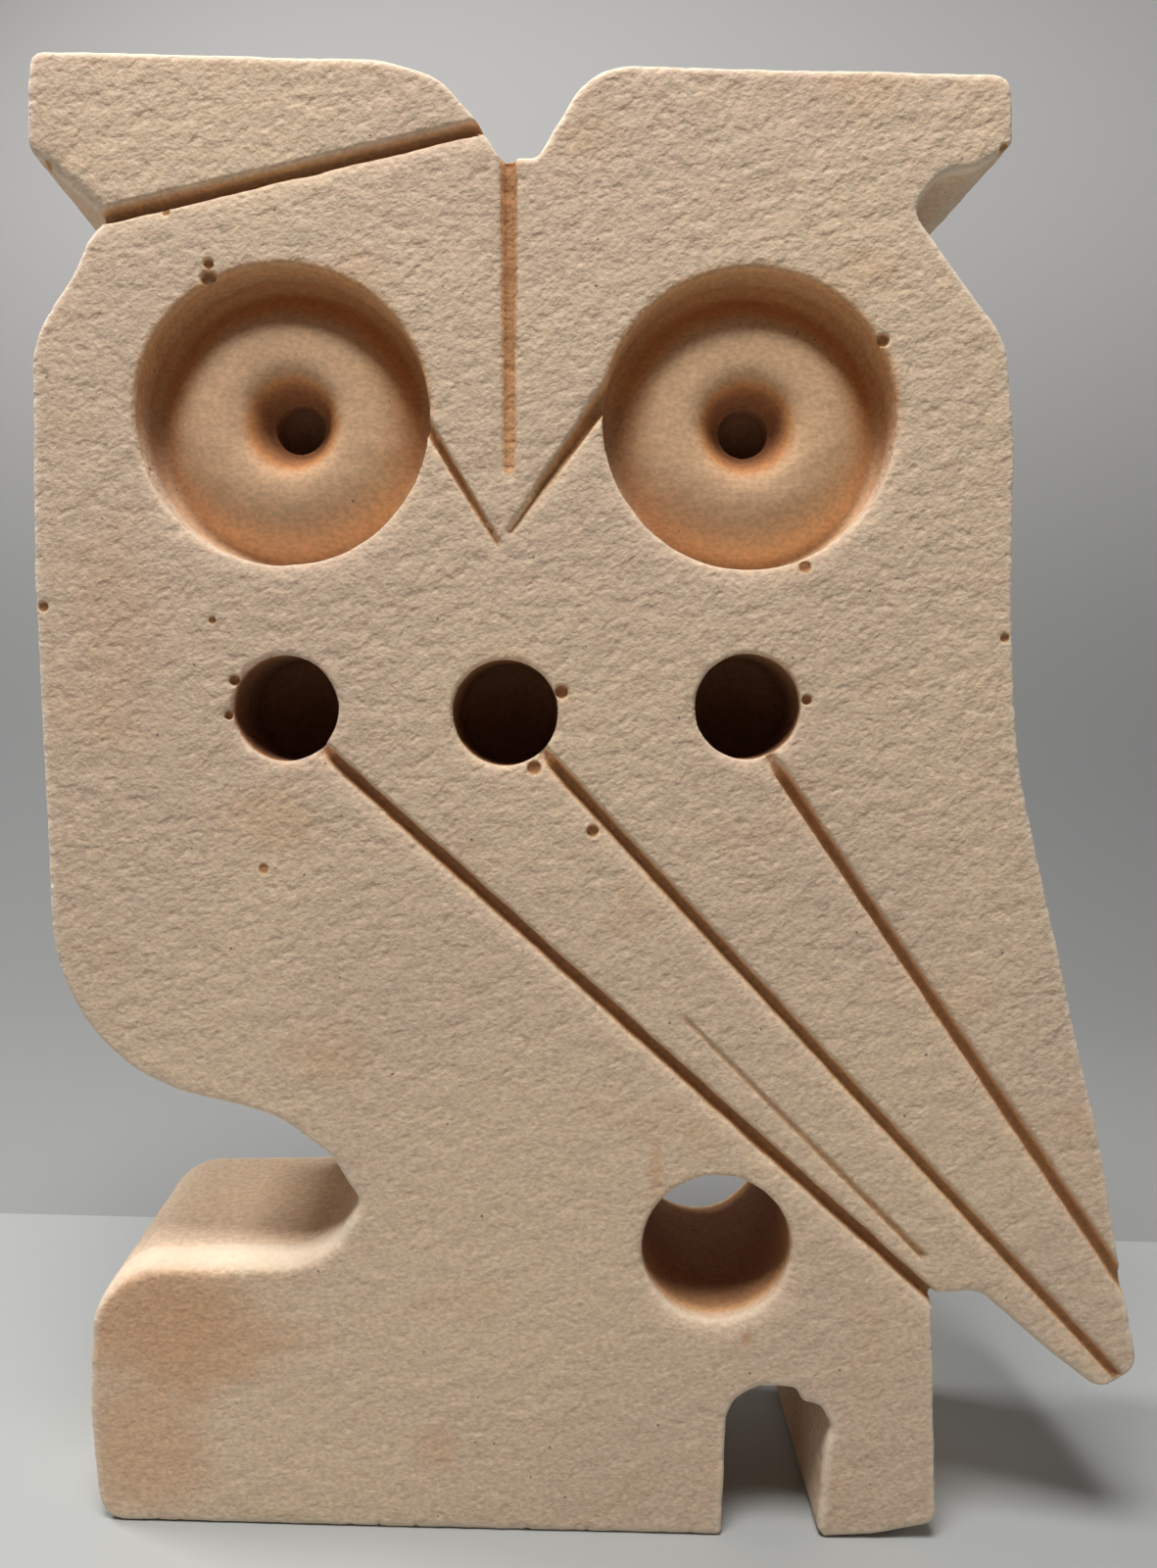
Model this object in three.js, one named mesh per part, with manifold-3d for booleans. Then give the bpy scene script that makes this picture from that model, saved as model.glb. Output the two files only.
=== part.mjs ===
// Stone owl figurine: one flat slab of pale sandblasted stone, sawn to an owl's outline,
// with sunk eyes, drilled breast holes, scratched feather lines and two feet.
// Millimetres, +Z up. The owl faces -Y. X is to the right as seen from the front.
// The origin is on the surface that the owl stands on, under the middle of its box.

import * as THREE from 'three';
import { mergeVertices } from 'three/addons/utils/BufferGeometryUtils.js';
import { ConvexGeometry } from 'three/addons/geometries/ConvexGeometry.js';
import Module from 'manifold-3d';

const wasm = await Module();
wasm.setup();

// Driving dimensions
const HEIGHT = 144.7; // sole to ear tops
const THICKNESS = 30; // the slab, front face to back face
const FRONT = -THICKNESS / 2; // y of the front face
const SAW_LEAN = 2.1; // the hand-held saw cut leans: the back outline lies this far to the left
const EDGE_EASE = 0.8; // worn arris along the front and back outlines
const EASE_STEPS = 2;
const CUT_PAST = 1; // how far a cutter reaches past the face that it cuts
const ARC_STEP = Math.PI / 14; // turn of one facet on a rounded corner

// Ears and cleft
const EAR_TOP = HEIGHT;
const CLEFT_BOTTOM = 135.8;

// Eyes: a sunk ring-shaped dome round a deep pupil
const EYE_RADIUS = 14.15;
const EYE_DEPTH = 5.8; // bottom of the groove between the dome and the wall
const DOME_CREST_DEPTH = 2.5; // highest ring of the dome, below the front face
const DOME_CREST_RADIUS = 7.4;
const PUPIL_RADIUS = 2.75;
const PUPIL_LIP_DEPTH = 4.4; // where the dome rolls over into the pupil
const PUPIL_DEPTH = 8.5;
const PUPIL_POINT = 1.2; // length of the pupil's drill cone
const WALL_FLARE = 0.1; // the eye's wall opens by this much towards the front
const EYE_SEGMENTS = 48;
const DOME_RINGS = 13;
const EYES = [
  { at: [-30.2, 110.8], pupilShift: 0.6 },
  { at: [15.1, 111.5], pupilShift: 0 },
];

// Drilled holes
const BREAST_HOLE_RADIUS = 5.15;
const BREAST_HOLE_DEPTH = 12;
const DRILL_POINT = 2.6; // length of the drill's cone below the full bore
const BREAST_HOLES = [[-29.5, 82.6], [-8.0, 82.7], [15.75, 83.9]];
const BREAST_HOLE_SEGMENTS = 32;
const FOOT_HOLE_RADIUS = 7.5; // right through the slab
const FOOT_HOLE = [14.4, 29.6];
const DRILL_LEAN = 0.7; // the through hole comes out this far to the right at the back
const FOOT_HOLE_SEGMENTS = 40;

// Sawn lines: ends as [x, z], with the width and the depth at each end
const FLOOR_SHARE = 0.5; // floor of a line, as a share of its mouth
const SAWN_LINES = {
  leftEar: { from: [-49, 128.9], to: [-11.4, 138.5], width: [1.5, 1.4], depth: [1.5, 1.2] },
  brow: { from: [-8.8, 137], to: [-8.1, 106.2], width: [1.4, 1.1], depth: [1.6, 0.3] },
  beakLeft: { from: [-17.2, 111.9], to: [-9.1, 99.2], width: [1.2, 0.7], depth: [1.5, 0.6] },
  beakRight: { from: [2.2, 115], to: [-7.9, 100.3], width: [2.0, 0.7], depth: [1.9, 0.6] },
  featherLong: { from: [-27.2, 79.9], to: [38.3, 23.4], width: [1.45, 1.45], depth: [1.5, 1.7] },
  featherMiddle: { from: [-5.2, 79.9], to: [54.9, 17.8], width: [1.45, 1.3], depth: [1.5, 0.9] },
  featherRight: { from: [17.6, 79.6], to: [57.6, 24], width: [1.3, 1.5], depth: [1.4, 1.2] },
  featherFaint: { from: [10.6, 52.8], to: [34.9, 29.6], width: [0.7, 0.9], depth: [0.25, 0.5] },
};

// The outline on the front face, anticlockwise from the left ear: [x, z, corner radius]
const OUTLINE = [
  [-54.7, EAR_TOP, 1.4], // left ear, outer top corner
  [-54.9, 135.4, 2.2],
  [-47.4, 129.3, 0.8], // notch under the left ear
  [-49.3, 126.6, 3],
  [-50.4, 123.8, 4],
  [-54.4, 117.8, 11], // left shoulder
  [-54.1, 93.7, 150],
  [-51.6, 46.9, 18.5], // belly
  [-30.3, 42.2, 12],
  [-24.2, 38.1, 8],
  [-21.5, 33.4, 1.5], // deepest point between belly and foot
  [-23.4, 29.9, 6],
  [-26.8, 27.3, 8],
  [-47.9, 26.5, 7], // worn corner of the big foot
  [-48.5, 11, 60],
  [-47.1, 0, 2.6], // left end of the sole
  [24, 0, 20],
  [31.5, 0.4, 12], // the small foot's sole rises a little
  [37.6, 1.8, 1.5],
  [36.2, 25.5, 0.5], // corner under the wing
  [41, 25.9, 4],
  [48.3, 19.8, 30],
  [53.7, 15.9, 2], // wing tip
  [57.2, 18.6, 2],
  [55, 28.8, 10],
  [52.7, 40, 60],
  [42.3, 79.5, 60], // the back bends out to the wing
  [41.2, 95, 150],
  [40.9, 109.5, 40],
  [39.7, 119.6, 8], // right shoulder
  [35.2, 125.2, 12],
  [30.1, 131.8, 1.6], // notch under the right ear
  [32.6, 135.2, 3],
  [36, 135.7, 3],
  [39.5, 138.1, 1.2],
  [39, EAR_TOP, 1.8], // right ear, outer top corner
  [1.2, EAR_TOP, 7],
  [-2, 142.8, 6],
  [-4.6, 138.4, 8],
  [-6.1, CLEFT_BOTTOM, 1], // cleft between the ears
  [-9.6, CLEFT_BOTTOM, 0.9],
  [-12, 139.4, 6],
  [-15.6, 143.1, 6],
  [-21, EAR_TOP, 8],
];

// The slot that parts the feet, ragged at its top right: [x, z, corner radius]
const SLOT_OUTLINE = [
  [15.8, -2, 0],
  [16, 15.7, 4.2],
  [22.7, 15.5, 1],
  [23.6, 14.1, 0.8],
  [25.4, 13.6, 1.2],
  [26.5, 11.6, 1],
  [25.9, 8.5, 4],
  [25.5, 0.9, 0.5],
  [27.5, -2, 0],
];

// A closed shape through corner points, each rounded by an arc of its own radius.
function roundedShape(corners) {
  const shape = new THREE.Shape();
  corners.forEach(([x, y, radius], i) => {
    const corner = new THREE.Vector2(x, y);
    const before = new THREE.Vector2(...corners.at(i - 1)).sub(corner).normalize();
    const after = new THREE.Vector2(...corners[(i + 1) % corners.length]).sub(corner).normalize();
    const halfAngle = Math.acos(THREE.MathUtils.clamp(before.dot(after), -1, 1)) / 2;
    if (radius === 0) {
      addPoint(shape, corner, i === 0);
      return;
    }
    const reach = radius / Math.tan(halfAngle);
    const centre = before.clone().add(after).normalize();
    centre.multiplyScalar(radius / Math.sin(halfAngle)).add(corner);
    const start = before.multiplyScalar(reach).add(corner).sub(centre).angle();
    const end = after.multiplyScalar(reach).add(corner).sub(centre).angle();
    const turn = THREE.MathUtils.euclideanModulo(end - start + Math.PI, 2 * Math.PI) - Math.PI;
    const steps = Math.max(1, Math.ceil(Math.abs(turn) / ARC_STEP));
    for (let k = 0; k <= steps; k++) {
      const angle = start + (turn * k) / steps;
      const offset = new THREE.Vector2(radius * Math.cos(angle), radius * Math.sin(angle));
      addPoint(shape, offset.add(centre), i === 0 && k === 0);
    }
  });
  shape.closePath();
  return shape;
}

function addPoint(shape, point, isFirst) {
  if (isFirst) shape.moveTo(point.x, point.y);
  else shape.lineTo(point.x, point.y);
}

// A geometry as a closed solid, with its shared vertices merged.
function solid(geometry) {
  const bare = geometry.clone();
  for (const name of Object.keys(bare.attributes)) {
    if (name !== 'position') bare.deleteAttribute(name);
  }
  const merged = mergeVertices(bare, 1e-4);
  return new wasm.Manifold(new wasm.Mesh({
    numProp: 3,
    vertProperties: new Float32Array(merged.attributes.position.array),
    triVerts: new Uint32Array(merged.index.array),
  }));
}

function toGeometry(manifold) {
  const { vertProperties, triVerts } = manifold.getMesh();
  const geometry = new THREE.BufferGeometry();
  geometry.setAttribute('position', new THREE.BufferAttribute(vertProperties, 3));
  geometry.setIndex(new THREE.BufferAttribute(triVerts, 1));
  geometry.computeVertexNormals();
  return geometry;
}

// Stand a shape drawn in x and z upright, with its far end at y = back.
function standUp(geometry, back) {
  return geometry.rotateX(Math.PI / 2).translate(0, back, 0);
}

// Slide each layer of a geometry sideways, so that its back face lies `shift` to the right.
function leaned(geometry, shift) {
  const position = geometry.attributes.position;
  for (let i = 0; i < position.count; i++) {
    const depth = position.getY(i) - FRONT;
    position.setX(i, position.getX(i) + (shift * depth) / THICKNESS);
  }
  return geometry;
}

// The sawn slab with its worn arrises.
function slab() {
  const geometry = new THREE.ExtrudeGeometry(roundedShape(OUTLINE), {
    depth: THICKNESS - 2 * EDGE_EASE,
    bevelThickness: EDGE_EASE,
    bevelSize: EDGE_EASE,
    bevelOffset: -EDGE_EASE,
    bevelSegments: EASE_STEPS,
  });
  return solid(leaned(standUp(geometry, THICKNESS / 2 - EDGE_EASE), -SAW_LEAN));
}

// A round cutter that enters the front face at [x, z]. Its profile is [radius, depth] pairs,
// from the middle of its outer end round to the middle of its bottom.
function turned([x, z], profile, segments) {
  const points = profile.map(([radius, depth]) => new THREE.Vector2(radius, depth));
  return new THREE.LatheGeometry(points, segments).translate(x, FRONT, z);
}

// The dome's depth at a radius: a broad crest that falls to the pupil and to the outer groove.
function domeDepth(radius) {
  const inside = radius < DOME_CREST_RADIUS;
  const reach = inside ? DOME_CREST_RADIUS - PUPIL_RADIUS : EYE_RADIUS - DOME_CREST_RADIUS;
  const drop = (inside ? PUPIL_LIP_DEPTH : EYE_DEPTH) - DOME_CREST_DEPTH;
  const share = Math.abs(radius - DOME_CREST_RADIUS) / reach;
  return DOME_CREST_DEPTH + drop * (1 - Math.sqrt(Math.max(0, 1 - share ** 2.2)));
}

function eyeCutter({ at }) {
  const profile = [[0, -CUT_PAST], [EYE_RADIUS + WALL_FLARE, -CUT_PAST]];
  for (let i = 0; i <= DOME_RINGS; i++) {
    const radius = THREE.MathUtils.lerp(EYE_RADIUS, PUPIL_RADIUS, i / DOME_RINGS);
    profile.push([radius, domeDepth(radius)]);
  }
  profile.push([0, PUPIL_LIP_DEPTH]);
  return solid(turned(at, profile, EYE_SEGMENTS));
}

// The pupil is drilled in the middle of the dome, a little off centre on the left eye.
function pupilCutter({ at: [x, z], pupilShift }) {
  const profile = [
    [0, DOME_CREST_DEPTH],
    [PUPIL_RADIUS, DOME_CREST_DEPTH],
    [PUPIL_RADIUS, PUPIL_DEPTH],
    [0, PUPIL_DEPTH + PUPIL_POINT],
  ];
  return solid(turned([x + pupilShift, z], profile, EYE_SEGMENTS / 2));
}

function breastHoleCutter(at) {
  const profile = [
    [0, -CUT_PAST],
    [BREAST_HOLE_RADIUS, -CUT_PAST],
    [BREAST_HOLE_RADIUS, BREAST_HOLE_DEPTH],
    [0, BREAST_HOLE_DEPTH + DRILL_POINT],
  ];
  return solid(turned(at, profile, BREAST_HOLE_SEGMENTS));
}

function footHoleCutter() {
  const profile = [
    [0, -CUT_PAST],
    [FOOT_HOLE_RADIUS, -CUT_PAST],
    [FOOT_HOLE_RADIUS, THICKNESS + CUT_PAST],
    [0, THICKNESS + CUT_PAST],
  ];
  return solid(leaned(turned(FOOT_HOLE, profile, FOOT_HOLE_SEGMENTS), DRILL_LEAN));
}

function slotCutter() {
  const geometry = new THREE.ExtrudeGeometry(roundedShape(SLOT_OUTLINE), {
    depth: THICKNESS + 2 * CUT_PAST,
    bevelEnabled: false,
  });
  return solid(standUp(geometry, THICKNESS / 2 + CUT_PAST));
}

// A sawn line: a trough with leaning walls, as the hull of a four-cornered section at each end.
function lineCutter({ from, to, width, depth }) {
  const along = new THREE.Vector2(...to).sub(new THREE.Vector2(...from)).normalize();
  const across = new THREE.Vector2(-along.y, along.x);
  const points = [from, to].flatMap(([x, z], end) => {
    const mouth = width[end] / 2;
    const floor = mouth * FLOOR_SHARE;
    const lean = (mouth - floor) / depth[end];
    const top = mouth + lean * CUT_PAST;
    return [[top, -CUT_PAST], [-top, -CUT_PAST], [floor, depth[end]], [-floor, depth[end]]].map(
      ([side, down]) => new THREE.Vector3(x + across.x * side, FRONT + down, z + across.y * side),
    );
  });
  return solid(new ConvexGeometry(points));
}

const cutters = [
  ...EYES.map(eyeCutter),
  ...EYES.map(pupilCutter),
  ...BREAST_HOLES.map(breastHoleCutter),
  footHoleCutter(),
  slotCutter(),
  ...Object.values(SAWN_LINES).map(lineCutter),
];
const carved = cutters.reduce((body, cutter) => body.subtract(cutter), slab());

const stone = new THREE.MeshStandardMaterial({ color: 0xcbb093, roughness: 0.9, metalness: 0 });
const owl = new THREE.Mesh(toGeometry(carved), stone);
owl.name = 'owl_figurine';

const figurine = new THREE.Group();
figurine.add(owl);

export default figurine;
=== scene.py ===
"""The looks of a small stone owl, sawn from one flat slab, drilled, scratched, sandblasted and worn.

The mesh is drawn in millimetres and turned into metres at the end. The owl faces -Y.
A depth is always measured from the front face into the slab.
"""

import math

import bmesh
import bpy
import numpy as np
from mathutils import Matrix, Vector, geometry, kdtree, noise


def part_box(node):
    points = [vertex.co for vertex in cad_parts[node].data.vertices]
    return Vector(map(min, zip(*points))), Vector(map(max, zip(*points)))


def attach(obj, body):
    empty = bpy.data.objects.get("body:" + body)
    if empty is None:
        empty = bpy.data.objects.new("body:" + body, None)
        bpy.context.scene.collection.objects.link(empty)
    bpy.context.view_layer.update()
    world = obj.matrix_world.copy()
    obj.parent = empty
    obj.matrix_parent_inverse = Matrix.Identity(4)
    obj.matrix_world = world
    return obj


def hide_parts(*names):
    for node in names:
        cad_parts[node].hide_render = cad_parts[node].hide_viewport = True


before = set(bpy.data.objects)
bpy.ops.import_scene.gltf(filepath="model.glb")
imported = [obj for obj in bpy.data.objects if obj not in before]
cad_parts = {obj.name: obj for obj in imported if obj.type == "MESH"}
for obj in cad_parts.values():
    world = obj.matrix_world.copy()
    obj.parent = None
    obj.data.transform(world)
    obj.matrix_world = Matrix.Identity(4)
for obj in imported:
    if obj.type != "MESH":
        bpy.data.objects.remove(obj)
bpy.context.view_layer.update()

NODE = "owl_figurine"
MM = 0.001
SEED = 7

# The slab, from the CAD model's box
low, high = (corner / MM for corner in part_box(NODE))
EAR_TOP = high.z
THICKNESS = high.y - low.y
FRONT = low.y
SAW_LEAN = 2.1  # the back outline lies this far to the left of the front one
DRILL_LEAN = 0.7  # the through hole comes out this far to the right at the back

# The outline on the front face, anticlockwise from the left ear: x, z, corner radius
CLEFT_BOTTOM = 135.8
LEFT_SIDE = [
    (-54.7, EAR_TOP, 1.4),  # left ear, outer top corner
    (-54.9, 135.4, 2.2),
    (-47.4, 129.3, 0.8),  # notch under the left ear
    (-49.3, 126.6, 3),
    (-50.4, 123.8, 4),
    (-54.4, 117.8, 11),  # left shoulder
    (-54.1, 93.7, 150),
    (-51.6, 46.9, 18.5),  # belly
    (-30.3, 42.2, 12),
    (-24.2, 38.1, 8),
    (-21.5, 33.4, 1.5),  # deepest point between belly and foot
    (-23.4, 29.9, 6),
    (-26.8, 27.3, 8),
    (-47.9, 26.5, 7),  # worn corner of the big foot
    (-48.5, 11, 60),
    (-47.1, 0, 2.6),  # left end of the sole
]
FOOT_SLOT = [
    (15.8, 0, 0.6),
    (16, 15.7, 4.2),
    (22.7, 15.5, 1),
    (23.6, 14.1, 0.8),
    (25.4, 13.6, 1.2),
    (26.5, 11.6, 1),
    (25.9, 8.5, 4),
    (25.5, 0.9, 0.5),
    (26.1, 0.1, 0.4),
]
RIGHT_SIDE = [
    (31.5, 0.4, 12),  # the small foot's sole rises a little
    (37.6, 1.8, 1.5),
    (36.2, 25.5, 0.5),  # corner under the wing
    (41, 25.9, 4),
    (48.3, 19.8, 30),
    (53.7, 15.9, 2),  # wing tip
    (57.2, 18.6, 2),
    (55, 28.8, 10),
    (52.7, 40, 60),
    (42.3, 79.5, 60),  # the back bends out to the wing
    (41.2, 95, 150),
    (40.9, 109.5, 40),
    (39.7, 119.6, 8),  # right shoulder
    (35.2, 125.2, 12),
    (30.1, 131.8, 1.6),  # notch under the right ear
    (32.6, 135.2, 3),
    (36, 135.7, 3),
    (39.5, 138.1, 1.2),
    (39, EAR_TOP, 1.8),  # right ear, outer top corner
    (1.2, EAR_TOP, 7),
    (-2, 142.8, 6),
    (-4.6, 138.4, 8),
    (-6.1, CLEFT_BOTTOM, 1),  # cleft between the ears
    (-9.6, CLEFT_BOTTOM, 0.9),
    (-12, 139.4, 6),
    (-15.6, 143.1, 6),
    (-21, EAR_TOP, 8),
]

# How the arris is worn: reach across the face and drop down the side
EDGE_REACH = 0.6
EDGE_DROP = 0.6
# Places that are worn further: two ends of a stretch, its spread, then the added reach and drop
EXTRA_WEAR = [
    {"ends": [(-47.5, 25.5), (-25, 28)], "spread": 2.2, "reach": 0.5, "drop": 3.6},  # foot ledge
    {"ends": [(-23, 30), (-22, 33)], "spread": 1.6, "reach": 0.2, "drop": 1.2},
    {"ends": [(-53, 133.5), (-48.5, 130)], "spread": 1.5, "reach": 0.9, "drop": 0.6},  # left ear
    {"ends": [(-53, 144.7), (-20, 144.7)], "spread": 2.0, "reach": 0.25, "drop": 0.3},
    {"ends": [(2, 144.7), (38, 144.7)], "spread": 2.0, "reach": 0.2, "drop": 0.25},
]

# Eyes: a sunk ring-shaped dome round a deep pupil
EYE_RADIUS = 14.15
EYE_RIM_RADIUS = 14.25
EYE_CORNER = 1.3  # radius of the worn corner between dome and wall
EYE_DEPTH = 5.8
HOLLOW = (9.0, 12.5)  # radii between which the dome passes into the hollow round it, where the painted shade sets in
DOME_CREST_DEPTH = 2.5
DOME_CREST_RADIUS = 6.8
DOME_FALL = 0.075  # how fast the dome falls outside its crest, per millimetre squared
PUPIL_RADIUS = 2.5
PUPIL_FUNNEL = 6.2  # the funnel round the pupil goes this far down
FUNNEL_POWER = 2.4
PUPIL_GRIME_AND_SHADE_RADII = (5.3, 3.3)  # radii between which the grime and painted shade of the pupil set in
PUPIL_DEPTH = 9.2
PUPIL_POINT = 1.2
EYES = [
    {"at": (-30.2, 110.8), "pupil_shift": 0.6},
    {"at": (15.1, 111.5), "pupil_shift": 0.0},
]

# Drilled holes
BREAST_HOLE_RADIUS = 5.15
BREAST_HOLE_DEPTH = 12
DRILL_POINT = 2.6
BREAST_HOLES = [(-29.5, 82.6), (-8.0, 82.7), (15.75, 83.9)]
FOOT_HOLE = (14.4, 29.6)
FOOT_HOLE_RADIUS = 7.5

# All drilled openings. arris: radius of the worn edge above and below the opening,
# slope: reach and drop of the soft wear below it
HOLES = (
    [{"at": eye["at"], "radius": EYE_RIM_RADIUS, "arris": (0.45, 0.2), "slope": (2.6, 0.4)}
     for eye in EYES]
    + [{"at": at, "radius": BREAST_HOLE_RADIUS, "arris": (0.25, 0.2), "slope": (1.6, 0.3)}
       for at in BREAST_HOLES]
    + [{"at": FOOT_HOLE, "radius": FOOT_HOLE_RADIUS, "arris": (0.3, 0.3), "slope": (2.6, 0.55)}]
)

# Sawn lines: ends, then the width and the depth at each end
SAWN_LINES = {
    "left_ear": {"ends": [(-49, 128.9), (-11.4, 138.5)], "width": (1.5, 1.4), "depth": (1.5, 1.2)},
    "brow": {"ends": [(-8.8, 137), (-8.1, 106.2)], "width": (1.7, 1.4), "depth": (1.6, 0.6)},
    "beak_left": {"ends": [(-17.2, 111.9), (-9.1, 99.2)], "width": (1.2, 0.7), "depth": (1.5, 0.6)},
    "beak_right": {"ends": [(2.2, 115), (-7.9, 100.3)], "width": (2.0, 0.7), "depth": (1.9, 0.6)},
    "long": {"ends": [(-27.2, 79.9), (38.3, 23.4)], "width": (1.45, 1.45), "depth": (1.5, 1.7),
             "worn_start": True},
    "middle": {"ends": [(-5.2, 79.9), (54.9, 17.8)], "width": (1.45, 1.3), "depth": (1.5, 0.9),
               "worn_start": True},
    "right": {"ends": [(17.6, 79.6), (57.6, 24)], "width": (1.3, 1.5), "depth": (1.4, 1.2),
              "worn_start": True},
    "faint": {"ends": [(10.6, 52.8), (34.9, 29.6)], "width": (0.7, 0.9), "depth": (0.25, 0.5)},
}
LIP_REACH = 1.5  # how far the worn lower lip of a line, painted paler as a highlight, spreads past its mouth
LIP_DROP = 0.3

# Small round pores and chips in the stone: x, z, radius, depth
PORES = [
    (-37.4, 123.6, 0.75, 0.6),
    (-37.4, 125.0, 0.5, 0.4),
    (27.65, 119.4, 0.6, 0.6),
    (-34.5, 85.2, 0.5, 0.6),
    (-35.0, 81.8, 0.45, 0.6),
    (-2.5, 84.9, 0.65, 0.6),
    (-5.0, 77.4, 0.7, 0.5),
    (0.9, 71.3, 0.6, 0.6),
    (21.5, 84.7, 0.5, 0.6),
    (-41.6, 129.9, 0.4, 0.5),
    (20.9, 97.6, 0.6, 0.4),
    (-36.7, 91.0, 0.35, 0.25),
    (38.6, 137.6, 0.5, 0.3),
    (-53.1, 133.9, 0.5, 0.3),
    (-53.2, 91.9, 0.5, 0.3),
    (40.6, 91.2, 0.45, 0.3),
    (-31.4, 66.8, 0.5, 0.15),
]

# How dark the grime and painted shade are, from 0 to 1
# grime and painted shade: lines, pores and holes are darkened for dirt and for the shade inside them
LINE_GRIME_AND_SHADE = 0.46
PORE_GRIME_AND_SHADE = 0.5
# painted shade: darkens the upper half of each eye's hollow and wall, where the rim's shadow falls
EYE_TOP_SHADE = 0.33
# painted shade: brown darkening over the upper rim of each eye
EYE_RIM_SHADE = 0.3
PUPIL_GRIME_AND_SHADE = 0.62
FOOT_HOLE_GRIME_AND_SHADE = 0.5
BREAST_HOLE_GRIME_AND_SHADE = 0.7

# Orange stains: x, z, half width, half height, strength
STAINS = [
    (-40.0, 20.5, 12, 9.0, 0.8),
    (-43.0, 8.0, 8.0, 9.0, 0.5),
    (-13.0, 8.5, 3.0, 2.5, 0.3),
    (8.0, 38.0, 1.0, 4.0, 0.5),
    (17.6, 20.6, 0.5, 0.9, 0.8),
    (-46.0, 90.0, 5.0, 12.0, 0.25),
]

# Sandblasting: what it took off on the whole, then size and height of each layer of bumps
BLAST_DEPTH = 0.05
BLAST = [(9, 0.06), (2.8, 0.06), (1.3, 0.05)]

# Mesh spacing: steps between points, and rows of points beside an edge, at these distances
FACE_STEP = 0.54
EDGE_STEP = 0.75
BACK_STEP = 1.35
WALL_STEP = 1.0
ROW_STEP = 0.55
EDGE_ROWS = (0.1, 0.3, 0.6, 1.0)
BACK_ROWS = (0.25, 0.7)
RIM_ROWS = (0.12, 0.3, 0.6, 1.0)
PUPIL_ROWS = (0.05, 0.2, 0.45, 0.8, 1.3)
EYE_WALL_ROWS = (0.2, 0.45, 0.8)
LINE_ROWS = (0, 0.45, 0.75, 1.05, 1.5, 2.2)  # in half widths of the line
PORE_RINGS = (0.5, 0.8, 1.1, 1.5)  # in radii of the pore


# Colours of the stone, its grime and painted shade, its painted highlight and glow, and its grain
STONE_CREAM = (0.80, 0.60, 0.415)
STONE_PINK = (0.76, 0.565, 0.405)
STONE_OCHRE = (0.76, 0.50, 0.30)
STONE_ORANGE = (0.70, 0.40, 0.22)
# pale of worn edges, and painted highlight on the lower lips that face up
STONE_PALE = (0.90, 0.76, 0.60)
# painted glow: amber tint of the eye floors that stands in for light bounced inside the hollow
EYE_BOUNCE_GLOW = (0.95, 0.80, 0.66)
SPECK_GREY = (0.16, 0.13, 0.11)
SCUFF_TILT = math.radians(22)
SMOOTH_FOOT = (25, 75)  # between these heights the grain grows from faint to full
GRIME_AND_SHADE_TINTS = [  # share of grime and painted shade, then what is left of the stone's colour
    (0.0, (1.0, 1.0, 1.0)),
    (0.3, (0.86, 0.62, 0.40)),
    (0.6, (0.46, 0.29, 0.19)),
    (1.0, (0.10, 0.06, 0.045)),
]

# Floor and backdrop, in metres
FLOOR_END = 59 * MM  # the pale floor ends this far behind the owl's middle
FLOOR_SIZE = 1.2
BACKDROP_BEHIND = 0.5
BACKDROP_HEIGHT = 1.4
BACKDROP_CURVE = 0.3  # radius of the curve from the ground up to the backdrop
BACKDROP_STEPS = 12
BACKDROP_HALF_WIDTH = 1.5
BACKDROP_FRONT = -2.0
BELOW_FLOOR = -0.0005
FLOOR_COLOUR = (0.44, 0.45, 0.44)
# painted light: the backdrop runs from a shaded grey low down to a lit pale grey high up
BACKDROP_SHADED_LOW = (0.32, 0.32, 0.317)
BACKDROP_LIT_HIGH = (0.90, 0.88, 0.86)

# Soft lights: place, size and power, all aimed at the owl
LIGHTS = {
    "key": {"place": (-0.05, -0.165, 0.50), "size": (0.20, 0.16), "power": 2.3},
    "left": {"place": (-0.40, 0.08, 0.52), "size": (0.14, 0.14), "power": 1.9},
    "right": {"place": (0.60, 0.10, 0.35), "size": (0.4, 0.4), "power": 0.5},
}
AIM = (0, 0, 0.075)
SKY = 0.035

# Camera
CAMERA_PLACE = (-0.61 * MM, -133.6 * MM, 82.14 * MM)
CAMERA_PITCH = math.radians(3.0)
CAMERA_ROLL = math.radians(1.43)
PHOTO_HEIGHT = 1600
PHOTO_FOCUS = 1237  # focal length in photo pixels


# Small helpers

def ripple(points, size, seed=0):
    """Smooth noise, about -1 to 1, with waves about `size` millimetres long."""
    shift = Vector((seed * 17.3, seed * 5.1, seed * 9.7))
    return np.array([noise.noise(Vector(point) / size + shift) for point in points])


def ripple_flat(points, size, seed=0):
    """The same noise on points of the face, given as x and z."""
    return ripple(np.column_stack([points[:, 0], np.zeros(len(points)), points[:, 1]]), size, seed)


def smooth_step(value, start, end):
    """0 before start and 1 after end, with an S between them. start may be the higher one."""
    share = np.clip((value - start) / (end - start), 0, 1)
    return share * share * (3 - 2 * share)


def worn_depth(distance, reach, drop):
    """Depth of a rounded arris at a distance in from it: a quarter of an ellipse."""
    share = np.clip(1 - distance / reach, 0, 1)
    return drop * (1 - np.sqrt(1 - share**2))


def soft_minimum(one, other, width):
    """The smaller of two values, with the change from one to the other rounded over a width."""
    share = np.clip(0.5 + (other - one) / (2 * width), 0, 1)
    return other + (one - other) * share - width * share * (1 - share)


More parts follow.
